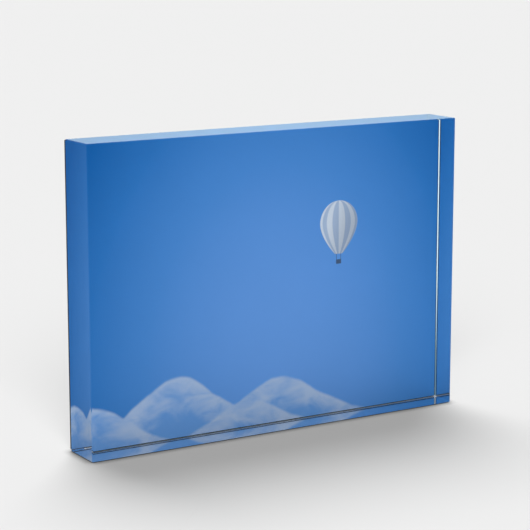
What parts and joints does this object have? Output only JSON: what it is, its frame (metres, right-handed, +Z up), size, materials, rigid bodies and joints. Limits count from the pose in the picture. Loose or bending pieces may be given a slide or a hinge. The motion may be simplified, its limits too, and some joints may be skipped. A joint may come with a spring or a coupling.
{
  "type": "acrylic photo block",
  "caption": "Free-standing clear acrylic photo block with bevelled edges, a landscape print laminated to its back face and a thin black backing sheet.",
  "frame": {"origin": "middle of the footprint of the whole stack, on the surface that the block stands on", "axes": "+X to the right as the picture is viewed, +Y from the front face towards the backing sheet, +Z up"},
  "size_m": [0.1778, 0.0204, 0.127],
  "materials": {
    "clear_acrylic": "polished",
    "optical_adhesive": "gloss",
    "photo_paper": "gloss",
    "mounting_film": "satin",
    "black_backing": "satin"
  },
  "bodies": {
    "root": {"acrylic_block": "clear_acrylic", "clear_adhesive": "optical_adhesive", "photo_print": "photo_paper", "backing_adhesive": "mounting_film", "backing_sheet": "black_backing"}
  },
  "joints": []
}
